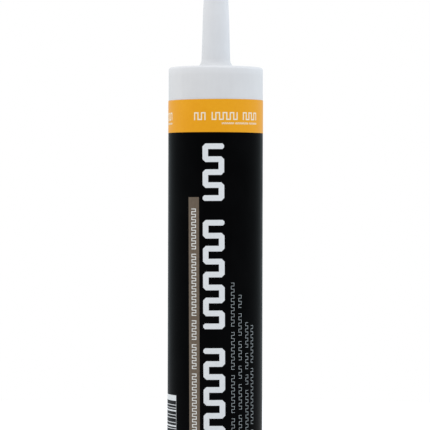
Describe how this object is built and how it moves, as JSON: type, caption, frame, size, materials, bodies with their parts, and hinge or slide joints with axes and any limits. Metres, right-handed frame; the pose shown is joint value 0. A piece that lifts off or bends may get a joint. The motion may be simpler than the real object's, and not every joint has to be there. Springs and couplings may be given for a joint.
{
  "type": "caulk tube",
  "caption": "Full cartridge of construction adhesive for a caulking gun: white barrel with a flat shoulder and long tapered nozzle, printed film wrap and a sliding plunger in its open rear.",
  "frame": {"origin": "centre of the barrel's rear rim, on the plane that it stands on", "axes": "+Z along the barrel towards the nozzle's tip, -Y out of the front of the label, +X to the label's right as seen from its front"},
  "size_m": [0.05, 0.05, 0.303],
  "materials": {
    "white_moulding": "satin",
    "foil": "satin",
    "plunger_moulding": "satin",
    "paste": "gloss",
    "black_film": "satin",
    "orange_ink": "satin",
    "white_ink": "satin",
    "taupe_ink": "satin"
  },
  "bodies": {
    "tube": {"cartridge": "white_moulding", "foil_seal": "foil", "adhesive": "paste", "label": "black_film", "orange_ink": "orange_ink", "white_ink": "white_ink", "taupe_ink": "taupe_ink"},
    "piston": {"plunger": "plunger_moulding"}
  },
  "joints": [
    {"name": "plunger_slide", "type": "slide", "parent": "tube", "child": "piston", "axis": [0, 0, 1], "range_m": [0, 0.1718], "deforming": ["adhesive"]}
  ]
}
